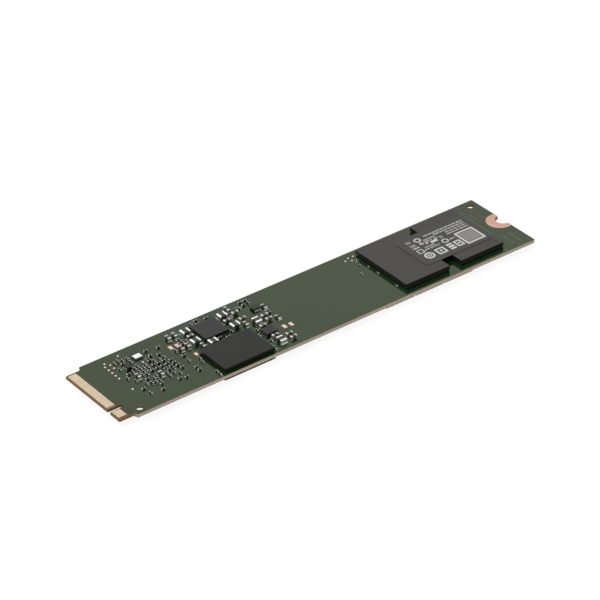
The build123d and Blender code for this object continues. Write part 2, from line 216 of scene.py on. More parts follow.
def feed(tree, socket, value):
    # a socket takes a link from another socket or a plain value
    if isinstance(value, bpy.types.NodeSocket):
        tree.links.new(value, socket)
    else:
        socket.default_value = value


def feedAll(tree, made, **inputs):
    for key, value in inputs.items():
        feed(tree, made.inputs[key.replace("_", " ")], value)


def put(tree, kind, x, y, group=None, **inputs):
    made = tree.nodes.new(kind)
    made.location = (x, y)
    if group:
        made.node_tree = group
    feedAll(tree, made, **inputs)
    return made


def mathNode(tree, operation, x, y, *values, clamp=False):
    made = put(tree, "ShaderNodeMath", x, y)
    made.operation, made.use_clamp = operation, clamp
    for socket, value in zip(made.inputs, values):
        feed(tree, socket, value)
    return made.outputs[0]


def mixColor(tree, x, y, factor, first, second):
    made = put(tree, "ShaderNodeMix", x, y)
    made.data_type = "RGBA"
    for index, value in ((0, factor), (6, first), (7, second)):  # 6 and 7 take the colours
        feed(tree, made.inputs[index], value)
    return made.outputs[2]


def remap(tree, x, y, value, fromLow, fromHigh, toLow, toHigh, smooth=False):
    made = put(tree, "ShaderNodeMapRange", x, y)
    made.interpolation_type = "SMOOTHSTEP" if smooth else "LINEAR"
    made.clamp = True
    for socket, number in zip(made.inputs, (value, fromLow, fromHigh, toLow, toHigh)):
        feed(tree, socket, number)
    return made.outputs[0]


def newGroup(name, inputs, outputs):
    # an input is a colour if its value is a tuple; gives the tree and what its inputs carry
    tree = bpy.data.node_groups.new(name, "ShaderNodeTree")
    for label, value in inputs.items():
        kind = "NodeSocketColor" if isinstance(value, tuple) else "NodeSocketFloat"
        socket = tree.interface.new_socket(label, in_out="INPUT", socket_type=kind)
        socket.default_value = value
    for label, kind in outputs.items():
        tree.interface.new_socket(label, in_out="OUTPUT", socket_type="NodeSocket" + kind)
    return tree, put(tree, "NodeGroupInput", -1400, 300).outputs


def objectPlace(tree):
    return put(tree, "ShaderNodeTexCoord", -1600, 0).outputs["Object"]


def takeApart(tree, x, y, vector):
    return put(tree, "ShaderNodeSeparateXYZ", x, y, Vector=vector).outputs


def lyingFlat(tree, x, y):
    # 1 on a level face, 0 on an upright one
    normal = put(tree, "ShaderNodeNewGeometry", x - 400, y).outputs["True Normal"]
    return mathNode(tree, "ABSOLUTE", x, y, takeApart(tree, x - 200, y, normal)["Z"])


def blankMaterial(name):
    material = bpy.data.materials.new(name)
    material.use_nodes = True
    return material, material.node_tree, material.node_tree.nodes["Principled BSDF"]


# shader groups

grainLook = {
    "fineDetail": 3.0, "fineRoughness": 0.6,
    "blotchScale": 260.0, "blotchDetail": 4.0, "blotchRoughness": 0.5,
    "gain": 2.0, "roughSpread": 0.3,
    "uprightBelow": 0.3, "levelAbove": 0.7,
    "bumpDepth": 0.02 * mm,
}


def makeGrain():
    # fine speckle and relief of mouldings, ceramics and plated metal, with painted shade on their
    # upright faces
    look = grainLook
    tree, given = newGroup(
        "fineGrain",
        {"Color": (0.5, 0.5, 0.5, 1), "Spread": 0.1, "Scale": 8000.0, "Blotch": 0.1, "Rough": 0.5,
         "Rough Spread": 0.1, "Relief": 0.2, "Side Tone": 1.0, "Side Rough": 0.5},
        {"Color": "Color", "Roughness": "Float", "Normal": "Vector"})
    place = objectPlace(tree)
    fine = put(tree, "ShaderNodeTexNoise", -900, 100, Vector=place, Scale=given["Scale"],
               Detail=look["fineDetail"], Roughness=look["fineRoughness"]).outputs["Fac"]
    broad = put(tree, "ShaderNodeTexNoise", -900, -200, Vector=place, Scale=look["blotchScale"],
                Detail=look["blotchDetail"], Roughness=look["blotchRoughness"]).outputs["Fac"]
    parts = []
    for source, share, y in ((fine, "Spread", 100), (broad, "Blotch", -200)):
        centred = mathNode(tree, "SUBTRACT", -650, y, source, 0.5)
        parts.append(mathNode(tree, "MULTIPLY", -450, y, centred, given[share]))
    total = mathNode(tree, "ADD", -250, 0, *parts)
    gain = mathNode(tree, "MULTIPLY_ADD", -50, 0, total, look["gain"], 1.0)
    # upright faces, such as sawn package sides, take their own polish and a painted shade that
    # darkens their colour
    lying = remap(tree, -600, -600, lyingFlat(tree, -800, -600), look["uprightBelow"],
                  look["levelAbove"], 0.0, 1.0)
    tone = remap(tree, -400, -500, lying, 0.0, 1.0, given["Side Tone"], 1.0)
    polish = remap(tree, -400, -700, lying, 0.0, 1.0, given["Side Rough"], given["Rough"])
    scaled = put(tree, "ShaderNodeVectorMath", 200, 100)
    scaled.operation = "SCALE"
    feedAll(tree, scaled, Vector=given["Color"],
            Scale=mathNode(tree, "MULTIPLY", 100, 0, gain, tone))
    rough = mathNode(tree, "MULTIPLY_ADD", 200, -100, total, given["Rough Spread"], polish,
                     clamp=True)
    bump = put(tree, "ShaderNodeBump", 500, -300, Distance=look["bumpDepth"],
               Strength=given["Relief"], Height=fine)
    put(tree, "NodeGroupOutput", 900, 0, Color=scaled.outputs[0], Roughness=rough,
        Normal=bump.outputs["Normal"])
    return tree


copperLook = {
    "pitch": 0.36 * mm, "lineCore": 0.12, "lineEdge": 0.2,
    "patchScale": 120.0, "patchRandomness": 0.8, "shownAbove": {"Y": 0.62, "X": 0.80},
    "viaScale": 700.0, "viaRandomness": 0.55, "viaCore": 0.12, "viaEdge": 0.17, "viaAbove": 0.72,
}


def makeTracks():
    # copper under the solder mask: bundles of fine tracks, clearances and via pads
    look = copperLook
    tree, given = newGroup("maskedCopper", {"Pitch": look["pitch"]},
                           {"Tracks": "Float", "Vias": "Float", "Height": "Float"})
    place = objectPlace(tree)
    apart = takeApart(tree, -1400, 0, place)
    # two families of lines, along the card and across it, each shown in its own patches
    patch = put(tree, "ShaderNodeTexVoronoi", -1000, 300, Vector=place, Scale=look["patchScale"],
                Randomness=look["patchRandomness"])
    patch.distance = "CHEBYCHEV"
    tone = put(tree, "ShaderNodeSeparateColor", -800, 300, Color=patch.outputs["Color"])
    lines = []
    for number, (axis, low) in enumerate(look["shownAbove"].items()):
        y = -200 * number
        steps = mathNode(tree, "DIVIDE", -800, y, apart[axis], given["Pitch"])
        wave = mathNode(tree, "PINGPONG", -600, y, steps, 0.5)
        line = remap(tree, -400, y, wave, look["lineCore"], look["lineEdge"], 1.0, 0.0, True)
        shown = mathNode(tree, "GREATER_THAN", -600, 300 - y, tone.outputs[number], low)
        lines.append(mathNode(tree, "MULTIPLY", -200, y, line, shown))
    tracks = mathNode(tree, "MAXIMUM", 0, 0, *lines)
    dots = put(tree, "ShaderNodeTexVoronoi", -800, -700, Vector=place, Scale=look["viaScale"],
               Randomness=look["viaRandomness"])
    dotTone = put(tree, "ShaderNodeSeparateColor", -600, -850, Color=dots.outputs["Color"])
    kept = mathNode(tree, "GREATER_THAN", -400, -850, dotTone.outputs[1], look["viaAbove"])
    disc = remap(tree, -400, -650, dots.outputs["Distance"], look["viaCore"], look["viaEdge"],
                 1.0, 0.0, True)
    vias = mathNode(tree, "MULTIPLY", -200, -700, disc, kept)
    put(tree, "NodeGroupOutput", 900, 0, Tracks=tracks, Vias=vias,
        Height=mathNode(tree, "MAXIMUM", 200, -200, tracks, vias))
    return tree


laminateLook = {
    "layer": 0.13 * mm, "bandLow": 0.05, "bandHigh": 0.3,
    "bundleScale": 2600.0, "bundleFlatness": 3.0, "bundleDetail": 4.0, "bundleRoughness": 0.7,
    "bundleLow": 0.35, "bundleHigh": 0.7, "leastFibre": 0.35,
}


def makeLayers():
    # sawn edge of glass-fibre laminate: resin and fibre layers with cut bundle ends
    look = laminateLook
    tree, given = newGroup(
        "laminateEdge",
        {"Resin": (0.2, 0.12, 0.06, 1), "Fibre": (0.5, 0.4, 0.3, 1), "Layer": look["layer"]},
        {"Color": "Color", "Height": "Float"})
    place = objectPlace(tree)
    height = takeApart(tree, -1400, 0, place)["Z"]
    steps = mathNode(tree, "DIVIDE", -800, -100, height, given["Layer"])
    wave = mathNode(tree, "PINGPONG", -600, -100, steps, 0.5)
    band = remap(tree, -400, -100, wave, look["bandLow"], look["bandHigh"], 0.0, 1.0, True)
    stretch = put(tree, "ShaderNodeMapping", -800, -500, Vector=place,
                  Scale=(1.0, 1.0, look["bundleFlatness"]))
    bundles = put(tree, "ShaderNodeTexNoise", -600, -500, Vector=stretch.outputs[0],
                  Scale=look["bundleScale"], Detail=look["bundleDetail"],
                  Roughness=look["bundleRoughness"])
    grains = remap(tree, -400, -500, bundles.outputs["Fac"], look["bundleLow"],
                   look["bundleHigh"], look["leastFibre"], 1.0)
    share = mathNode(tree, "MULTIPLY", -200, -200, band, grains)
    put(tree, "NodeGroupOutput", 900, 0, Height=share,
        Color=mixColor(tree, 100, 0, share, given["Resin"], given["Fibre"]))
    return tree


fineGrain = makeGrain()
maskedCopper = makeTracks()
laminateEdge = makeLayers()


# materials

def grained(name, color, rough, spread=0.12, scale=9000.0, blotch=0.1, relief=0.15, metal=0.0,
            specular=0.5, paintedSideShade=1.0, sideRough=None):
    # the side shade is painted shade that darkens the colour of upright faces, and sideRough is
    # their roughness
    material, tree, shader = blankMaterial(name)
    grain = put(tree, "ShaderNodeGroup", -400, 0, fineGrain, Color=linear(*color), Spread=spread,
                Scale=scale, Blotch=blotch, Rough=rough, Rough_Spread=grainLook["roughSpread"],
                Relief=relief, Side_Tone=paintedSideShade,
                Side_Rough=rough if sideRough is None else sideRough)
    feedAll(tree, shader, Base_Color=grain.outputs["Color"], Roughness=grain.outputs["Roughness"],
            Normal=grain.outputs["Normal"], Metallic=metal, Specular_IOR_Level=specular)
    return material


copperGrain = {"spread": 0.08, "scale": 6000.0, "blotch": 0.15, "relief": 0.12, "metal": 0.9}
solderGrain = {"spread": 0.08, "scale": 5000.0, "blotch": 0.15, "relief": 0.2, "metal": 1.0}
# a side shade below 1 paints shade on the upright faces of caps, chip bodies and packages
tinnedGrain = {"spread": 0.06, "scale": 7000.0, "relief": 0.2, "metal": 0.6, "paintedSideShade": 0.6}
ceramicGrain = {"spread": 0.15, "scale": 12000.0, "relief": 0.15, "paintedSideShade": 0.6}
mouldGrain = {"spread": 0.18, "scale": 11000.0, "relief": 0.25, "sideRough": 0.16}
inkGrain = {"scale": 14000.0, "relief": 0.05}

finishLooks = {  # colour, roughness and grain, whose later values win
    "flashMould": ((40, 37, 34), 0.42, mouldGrain,
                   {"blotch": 0.08, "specular": 0.42, "paintedSideShade": 0.5}),
    "memoryMould": ((31, 30, 28), 0.5, mouldGrain, {"specular": 0.2, "paintedSideShade": 0.6}),
    "icMould": ((34, 33, 32), 0.46, mouldGrain,
                {"spread": 0.2, "specular": 0.3, "paintedSideShade": 0.7, "sideRough": 0.2}),
    "substrate": ((24, 28, 18), 0.3, {"spread": 0.2, "scale": 5000.0, "relief": 0.1}),
    "labelFilm": ((39, 37, 35), 0.38, inkGrain,
                  {"spread": 0.05, "blotch": 0.05, "relief": 0.08, "specular": 0.46}),
    "labelInk": ((222, 222, 218), 0.5, inkGrain, {"spread": 0.06, "blotch": 0.05}),
    "labelRowInk": ((212, 212, 208), 0.5, inkGrain, {"spread": 0.1}),
    "labelInkGrey": ((140, 139, 136), 0.5, inkGrain, {"spread": 0.1}),
    "gold": ((216, 200, 175), 0.34,
             {"spread": 0.06, "scale": 5000.0, "blotch": 0.12, "relief": 0.1, "metal": 1.0}),
    "copper": ((200, 162, 144), 0.38, copperGrain),
    "landCopper": ((228, 194, 178), 0.36, copperGrain),
    "testCopper": ((230, 208, 188), 0.36, copperGrain),
    "solder": ((222, 222, 214), 0.3, solderGrain),
    "filletSolder": ((192, 192, 184), 0.34, solderGrain),
    "tinned": ((248, 248, 242), 0.34, tinnedGrain),
    "tinnedMatte": ((208, 208, 198), 0.34, tinnedGrain),
    "tinnedDull": ((172, 172, 163), 0.28, tinnedGrain, {"metal": 0.9, "paintedSideShade": 0.7}),
    "ceramicTan": ((84, 76, 66), 0.45, ceramicGrain, {"blotch": 0.2}),
    "ceramicGrey": ((28, 26, 23), 0.45, ceramicGrain, {"blotch": 0.3, "specular": 0.2}),
    "inductorBody": ((46, 45, 43), 0.5, {"spread": 0.3, "blotch": 0.15, "relief": 0.4}),
    "glaze": ((24, 25, 25), 0.3, {"spread": 0.1, "relief": 0.1, "specular": 0.3}),
    "crystalLid": ((250, 248, 244), 0.3,
                   {"spread": 0.05, "scale": 7000.0, "relief": 0.1, "metal": 0.6}),
    "crystalBase": ((84, 80, 72), 0.5, {"spread": 0.1, "relief": 0.1}),
    "tanResin": ((192, 172, 152), 0.45, {"blotch": 0.12, "relief": 0.2}),
    "silkInk": ((104, 112, 98), 0.55, {"spread": 0.15, "relief": 0.1}),
    "redInk": ((112, 66, 58), 0.5, {"spread": 0.15, "relief": 0.1}),
}
finish = {}
for finishName, (finishColor, finishRough, *grains) in finishLooks.items():
    grain = {key: value for part in grains for key, value in part.items()}
    finish[finishName] = grained(finishName, finishColor, finishRough, **grain)


boardLook = {
    "mask": (20, 44, 20),
    "maskOverCopper": (26, 54, 26),
    "via": (48, 68, 44),
    "resin": (186, 164, 143),
    "fibre": (230, 215, 199),
    "bareTip": (112, 88, 62),
    "bareGap": (148, 122, 91),
    "tipWall": (134, 98, 66),
    # painted shade for the walls of the holes and slots
    "holeWallShade": (150, 118, 92),
    "trackShow": 0.75, "viaShow": 0.6,
    "cloudScale": 140.0, "cloudDetail": 3.0, "cloudLow": 0.3, "cloudHigh": 0.7, "cloudShow": 0.5,
    "level": 0.9,  # what lies flatter than this is an upper or lower face, the rest is wall
    "maskStart": -52.72 * mm,  # the mask stops short of the contact fingers
    "fingerReach": 9.3 * mm,
    "tipWallFade": (-51.5 * mm, -51.1 * mm),
    "holesFrom": -50.9 * mm, "holesTo": 54.95 * mm, "holesReach": 10.7 * mm,
    "rough": 0.06, "bareRough": 0.62, "specular": 0.53, "specularTint": (0.88, 1.0, 0.57, 1.0),
    "bumpStrength": 0.2, "bumpDepth": 0.01 * mm,
}


def makeBoardMaterial():
    look = boardLook
    material, tree, shader = blankMaterial("solderMask")
    place = objectPlace(tree)
    apart = takeApart(tree, -1400, 0, place)
    across = mathNode(tree, "ABSOLUTE", -1200, -1100, apart["Y"])
    onFace = mathNode(tree, "GREATER_THAN", -800, -400, lyingFlat(tree, -1000, -400), look["level"])
    offFace = mathNode(tree, "SUBTRACT", -600, -1000, 1.0, onFace)
    past = mathNode(tree, "GREATER_THAN", -800, 0, apart["X"], look["maskStart"])
    masked = mathNode(tree, "MULTIPLY", -600, -200, onFace, past)

    copper = put(tree, "ShaderNodeGroup", -1000, 400, maskedCopper)
    cloud = put(tree, "ShaderNodeTexNoise", -1000, 700, Vector=place, Scale=look["cloudScale"],
                Detail=look["cloudDetail"])
    soft = remap(tree, -800, 700, cloud.outputs["Fac"], look["cloudLow"], look["cloudHigh"],
                 0.0, look["cloudShow"])
    tracks = mathNode(tree, "MULTIPLY", -800, 450, copper.outputs["Tracks"], look["trackShow"])
    lift = mathNode(tree, "MAXIMUM", -600, 500, tracks, soft)
    green = mixColor(tree, -400, 500, lift, linear(*look["mask"]), linear(*look["maskOverCopper"]))
    vias = mathNode(tree, "MULTIPLY", -600, 300, copper.outputs["Vias"], look["viaShow"])
    green = mixColor(tree, -200, 500, vias, green, linear(*look["via"]))

    layers = put(tree, "ShaderNodeGroup", -800, -700, laminateEdge,
                 Resin=linear(*look["resin"]), Fibre=linear(*look["fibre"]))
    # the laminate shows darker on the tongue's outer strip than between the fingers
    strip = mathNode(tree, "GREATER_THAN", -800, -500, across, look["fingerReach"])
    flat = mixColor(tree, -600, -500, strip, linear(*look["bareGap"]), linear(*look["bareTip"]))
    bare = mixColor(tree, -400, -500, onFace, layers.outputs["Color"], flat)
    # the bevelled tip and the tongue's edge are the browner resin, and the walls of holes and slots
    # take a painted shade, darker than the laminate
    nearTip = remap(tree, -600, -900, apart["X"], *look["tipWallFade"], 1.0, 0.0)
    brown = mathNode(tree, "MULTIPLY", -400, -900, nearTip, offFace)
    bare = mixColor(tree, -200, -500, brown, bare, linear(*look["tipWall"]))
    inner = offFace
    for number, (operation, value, limit) in enumerate((
            ("LESS_THAN", across, look["holesReach"]), ("LESS_THAN", apart["X"], look["holesTo"]),
            ("GREATER_THAN", apart["X"], look["holesFrom"]))):
        side = mathNode(tree, operation, -800, -1100 - 100 * number, value, limit)
        inner = mathNode(tree, "MULTIPLY", -600 + 100 * number, -1200, inner, side)
    # painted shade on the walls of the holes and slots
    bare = mixColor(tree, -100, -700, inner, bare, linear(*look["holeWallShade"]))

    rough = remap(tree, 0, -100, masked, 0.0, 1.0, look["bareRough"], look["rough"])
    height = mixColor(tree, 0, -400, masked, layers.outputs["Height"], copper.outputs["Height"])
    bump = put(tree, "ShaderNodeBump", 200, -400, Strength=look["bumpStrength"],
               Distance=look["bumpDepth"], Height=height)
    feedAll(tree, shader, Base_Color=mixColor(tree, 0, 200, masked, bare, green),
            Roughness=rough, Normal=bump.outputs["Normal"], Specular_IOR_Level=look["specular"],
            Specular_Tint=look["specularTint"])
    return material


finish["board"] = makeBoardMaterial()
print("materials made:", len(finish))


# circuit board, with round arcs

board = {
    "tongueWidth": 19.85, "tongueDepth": 3.6, "shoulderRun": 0.4,
    "bevelRun": 0.2, "bevelDepth": 0.15,
    "keyWidth": 1.2, "keyDepth": 3.5, "keyOffset": 6.125, "keySteps": 20,
    "cornerRadius": 0.25, "cornerSteps": 8, "notchRadius": 1.75, "notchSteps": 48,
    "holeRadius": 0.9, "holeSides": 48, "holes": ((5.66, 1.9), (108.1, 20.1)),
}


def buildBoard():
    box = nodeBox("circuit_board")
    low, high = box.low, box.high
    half, notch = board["tongueWidth"] / 2 * mm, board["notchRadius"] * mm
    shoulder, run = low.x + board["tongueDepth"] * mm, board["shoulderRun"] * mm
    keyY, keyHalf = -board["keyOffset"] * mm, board["keyWidth"] / 2 * mm
    keyEnd = low.x + (board["keyDepth"] - board["keyWidth"] / 2) * mm
    bend = board["cornerRadius"] * mm
    turn = (-math.pi / 2, board["cornerSteps"])
    bm = bmesh.new()
    drawOutline(bm, low.z, (low.x, keyY + keyHalf), [
        (low.x, half), (shoulder, half), (shoulder + run, high.y),
        (high.x - bend, high.y), (high.x - bend, high.y - bend, *turn),
        (high.x, notch), (high.x, 0, math.pi, board["notchSteps"]),
        (high.x, low.y + bend), (high.x - bend, low.y + bend, *turn),
        (shoulder + run, low.y), (shoulder, -half), (low.x, -half),
        (low.x, keyY - keyHalf), (keyEnd, keyY - keyHalf),
        (keyEnd, keyY, math.pi, board["keySteps"])])
    for along, across in board["holes"]:
        addCircle(bm, low.x + along * mm, low.y + across * mm, low.z,
                  board["holeRadius"] * mm, board["holeSides"])
    fillFlat(bm)
    thicken(bm, bm.faces[:], box.size.z)
    # the tip is bevelled on both faces
    cutAt(bm, (low.x + board["bevelRun"] * mm, 0, 0), (1, 0, 0))
    tip = [v for v in bm.verts if v.co.x < low.x + tolerance["drawn"]]
    bmesh.ops.scale(bm, verts=tip, vec=(1, 1, 1 - 2 * board["bevelDepth"] * mm / box.size.z),
                    space=Matrix.Translation(-box.centre))
    addPiece("boardLaminate", bm, "board", ("circuit_board",))


buildBoard()
print("board made")


# moulded packages on solder balls

packages = {
    "flash_package_outer": {"name": "flashOuter", "mould": "flashMould", "slot": "package",
                            "base": 0.26, "dimpleAt": "mount"},
    "flash_package_inner": {"name": "flashInner", "mould": "flashMould", "slot": "package",
                            "base": 0.26, "dimpleAt": "mount"},
    "memory_package_top": {"name": "memoryTop", "mould": "memoryMould", "slot": "package_dark",
                           "base": 0.2, "dimpleAt": "tip",
                           "trim": (0.13, 0.2, 0.35)},  # off the tip, near and far sides
    "memory_package_bottom": {"name": "memoryBottom", "mould": "memoryMould",
                              "slot": "package_dark", "base": 0.2, "dimpleAt": "tip"},
    "controller_package": {"name": "controller", "mould": "memoryMould",
                           "slot": "package_dark", "base": 0.25, "dimpleAt": "tip"},
}
packageShape = {
    "edge": 0.035, "baseInset": 0.012, "baseEdge": 0.01,
    "dimpleRadius": 0.45, "dimpleSides": 32, "dimpleDepth": 0.05, "dimpleTaper": 0.93,
    "dimpleInset": 1.1,
}


def closeOff(bm, edges, height, taper=1.0, about=(0, 0)):
    # walls up or down from a loop of edges, ending in a face
    walls = bmesh.ops.extrude_edge_only(bm, edges=edges)["geom"]
    bmesh.ops.translate(bm, verts=vertsOf(walls), vec=(0, 0, height))
    bmesh.ops.scale(bm, vec=(taper, taper, 1), verts=vertsOf(walls),
                    space=Matrix.Translation((-about[0], -about[1], 0)))
    bmesh.ops.edgenet_fill(bm, edges=edgesOf(walls))


def mouldedBlock(name, low, high, under, dimple, finishName, slotName, replaced):
    # the outer face carries a round index dimple; under means that face looks down
    shape = packageShape
    outer, inner = (low.z, high.z) if under else (high.z, low.z)
    sink = shape["dimpleDepth"] * mm * (1 if under else -1)
    bm = bmesh.new()
    sheet = bmesh.ops.create_grid(bm, x_segments=1, y_segments=1, size=0.5)
    bmesh.ops.scale(bm, vec=(high.x - low.x, high.y - low.y, 1), verts=sheet["verts"])
    bmesh.ops.translate(bm, verts=sheet["verts"],
                        vec=((low.x + high.x) / 2, (low.y + high.y) / 2, outer))
    bmesh.ops.delete(bm, geom=bm.faces[:], context="FACES_ONLY")
    rim = bm.edges[:]
    addCircle(bm, *dimple, outer, shape["dimpleRadius"] * mm, shape["dimpleSides"])
    mouth = [e for e in bm.edges if e not in rim]
    fillFlat(bm)
    closeOff(bm, mouth, sink, shape["dimpleTaper"], dimple)
    closeOff(bm, rim, inner - outer)
    bmesh.ops.recalc_face_normals(bm, faces=bm.faces)
    outside = [e for e in sharpEdges(bm, sharpAngle["package"])
               if all(min(abs(v.co.x - low.x), abs(v.co.x - high.x)) < tolerance["drawn"]
                      for v in e.verts)]
    bevelEdges(bm, outside, shape["edge"] * mm, segments=2)
    addPiece(name, bm, finishName, replaced)


def buildPackages():
    shape = packageShape
    inset, dimpleInset = shape["baseInset"] * mm, shape["dimpleInset"] * mm
    for nodeName, look in packages.items():
        box = nodeBox(nodeName)
        under = box.centre.z < boardMiddle
        tipTrim, nearTrim, farTrim = look.get("trim", (0, 0, 0))
        low = box.low + Vector((tipTrim * mm, nearTrim * mm, 0))
        high = box.high - Vector((0, farTrim * mm, 0))
        split = look["base"] * mm
        seam = high.z - split if under else low.z + split
        lower, upper = (low, Vector((high.x, high.y, seam))), (Vector((low.x, low.y, seam)), high)
        mould, base = (lower, upper) if under else (upper, lower)
        dimpleX = high.x - dimpleInset if look["dimpleAt"] == "mount" else low.x + dimpleInset
        mouldedBlock(look["name"] + "Mould", *mould, under, (dimpleX, low.y + dimpleInset),
                     look["mould"], look["slot"], (nodeName,))
        size = base[1] - base[0]
        block = blockTemplate((size.x - 2 * inset, size.y - 2 * inset, split),
                              shape["baseEdge"] * mm, segments=1)
        bm = bmesh.new()
        stamp(bm, block, (base[0] + base[1]) / 2)
        addPiece(look["name"] + "Base", bm, "substrate")


buildPackages()

balls = {
    "radius": 0.26, "height": 0.2, "stretch": 1.25, "sides": 8, "rings": 5,
    "rowsShown": 2,  # the inner rows can't be seen
    "grids": {  # package: columns, rows, pitch
        ("flash_solder_balls", "flashBalls"): {
            "flash_package_outer": (10, 15, 1.0), "flash_package_inner": (10, 15, 1.0)},
        ("memory_solder_balls", "memoryBalls"): {
            "memory_package_top": (13, 10, 0.8), "memory_package_bottom": (13, 10, 0.8)},
        ("controller_solder_balls", "controllerBalls"): {"controller_package": (12, 12, 1.0)},
    },
}


def ballTemplate(height):
    # a squashed ball, with flats where it meets the two lands
    radius = balls["radius"] * mm
    bm = bmesh.new()
    bmesh.ops.create_uvsphere(bm, u_segments=balls["sides"], v_segments=balls["rings"],
                              radius=radius)
    bmesh.ops.scale(bm, vec=(1, 1, height / (2 * radius) * balls["stretch"]), verts=bm.verts)
    for side in (1, -1):
        cutAt(bm, (0, 0, side * height / 2), (0, 0, side), clear=True)
        bmesh.ops.holes_fill(bm, edges=[e for e in bm.edges if e.is_boundary], sides=0)
    return meshFrom(bm)


def buildBalls():
    height = balls["height"] * mm
    shape = ballTemplate(height)
    for (nodeName, name), grids in balls["grids"].items():
        bm = bmesh.new()
        for package, (columns, rows, pitch) in grids.items():
            box = nodeBox(package)
            under = box.centre.z < boardMiddle
            level = box.high.z + height / 2 if under else box.low.z - height / 2
            for column in range(columns):
                for row in range(rows):
                    if min(column, columns - 1 - column, row, rows - 1 - row) >= balls["rowsShown"]:
                        continue
                    x = box.centre.x + (column - (columns - 1) / 2) * pitch * mm
                    y = box.centre.y + (row - (rows - 1) / 2) * pitch * mm
                    stamp(bm, shape, (x, y, level), 0.0, under)
        addPiece(name, bm, "solder", (nodeName,), smooth=True)


buildBalls()
print("packages and balls made")


# two-ended chips: bodies, wrapped caps and solder fillets

tinyChip = {"body": "ceramicGrey", "cap": "tinnedDull", "slot": "ceramic",
            "edge": 0.02, "capEdge": 0.08, "reach": 0.04, "wet": 0.3, "scale": 0.9}
chipFamilies = {
    "power_inductor": {"name": "powerInductor", "body": "inductorBody", "cap": "tinned",
                       "slot": "inductor", "edge": 0.05, "capEdge": 0.1, "reach": 0.14,
                       "wet": 0.4, "scale": 1.0,
                       # off their solids, by their count from the tip: along, across
                       "shifts": {1: (0.2, -0.16), 2: (0.22, -0.3), 3: (0.13, 0),
                                  4: (0.12, -0.09), 5: (0.22, 0.15)}},
    "large_capacitor": {"name": "largeCapacitor", "body": "ceramicTan", "cap": "tinnedMatte",
                        "slot": "ceramic", "edge": 0.03, "capEdge": 0.1, "reach": 0.12,
                        "wet": 0.45, "scale": 1.0},
    "chip_resistor": {"name": "chipResistor", "body": "glaze", "cap": "tinnedMatte",
                      "slot": "resistor", "edge": 0.03, "capEdge": 0.05, "reach": 0.12,
                      "wet": 0.6, "scale": 1.0},
    "power_chip": {**tinyChip, "name": "powerChip"},
    "field_chip": {**tinyChip, "name": "fieldChip"},
    "flash_chip": {**tinyChip, "name": "flashChip", "cap": "tinnedMatte", "capEdge": 0.06,
                   "reach": 0.03, "scale": 0.6},
    "underside_chip": {**tinyChip, "name": "undersideChip"},
}
fillet = {"cuts": (0.18, 0.45), "sideReach": 0.35}  # cuts as shares of its height
bodyLap = 0.04  # how far a body's length runs into its caps, both ends together


def filletTemplate(size, reach, wet):
    # solder that climbs the outer end and the sides of a cap, hollow in profile
    height = size[2] * wet
    bm = bmesh.new()
    bmesh.ops.create_cube(bm, size=1)
    bmesh.ops.translate(bm, verts=bm.verts, vec=(0, 0, 0.5))
    bmesh.ops.scale(bm, vec=(size[0], size[1], height), verts=bm.verts)
    for level in fillet["cuts"]:
        cutAt(bm, (0, 0, level * height), (0, 0, 1))
    for vert in bm.verts:
        share = (1 - vert.co.z / height) ** 2
        if vert.co.x > 0:
            vert.co.x += reach * share
        vert.co.y += math.copysign(reach * fillet["sideReach"] * share, vert.co.y)
    return meshFrom(bm)


def isAcross(away):
    # whether a cap stands off its body across the card
    return abs(away.y) > abs(away.x)


def buildChips():
    for family, look in chipFamilies.items():
        bodies, caps = solidBoxes(family + "_bodies"), solidBoxes(family + "_caps")
        capBox = nodeBox(family + "_caps")
        under = capBox.centre.z < boardMiddle
        boardLevel = capBox.high.z if under else capBox.low.z
        # length runs through both caps, width across them
        centre, bodySize = bodies[0]
        capPlace, capSize = min(caps, key=lambda item: (item[0] - centre).length)
        scale = look["scale"]
        order = (1, 0, 2) if isAcross(capPlace - centre) else (0, 1, 2)
        length, width, height = (bodySize[axis] * scale for axis in order)
        capSize = [capSize[axis] * scale for axis in order]
        body = blockTemplate((length + bodyLap * mm, width, height), look["edge"] * mm, segments=2)
        cap = blockTemplate(capSize, look["capEdge"] * scale * mm, segments=2, endOnly=True)
        solder = filletTemplate(capSize, look["reach"] * mm, look["wet"])
        bodyMesh, capMesh, solderMesh = bmesh.new(), bmesh.new(), bmesh.new()
        for number, (centre, bodySize) in enumerate(bodies):
            away = min((place - centre for place, size in caps), key=lambda gap: gap.length)
            turn = math.pi / 2 if isAcross(away) else 0.0
            way = Vector((math.cos(turn), math.sin(turn), 0))
            along, across = look.get("shifts", {}).get(number, (0, 0))
            centre = centre + Vector((along * mm, across * mm, 0))
            bodyZ = boardLevel + (centre.z - boardLevel) * scale
            capZ = boardLevel + (capBox.centre.z - boardLevel) * scale
            stamp(bodyMesh, body, Vector((centre.x, centre.y, bodyZ)), turn, under)
            for end, angle in ((1, turn), (-1, turn + math.pi)):
                place = Vector((centre.x, centre.y, capZ)) + way * end * (length + capSize[0]) / 2
                stamp(capMesh, cap, place, angle, under)
                place.z = boardLevel
                stamp(solderMesh, solder, place, angle, under)
        name = look["name"]
        addPiece(name + "Bodies", bodyMesh, look["body"], (family + "_bodies",))
        addPiece(name + "Caps", capMesh, look["cap"], (family + "_caps",))
        addPiece(name + "Solder", solderMesh, "filletSolder")


buildChips()
print("chips made")


# leaded and small packages

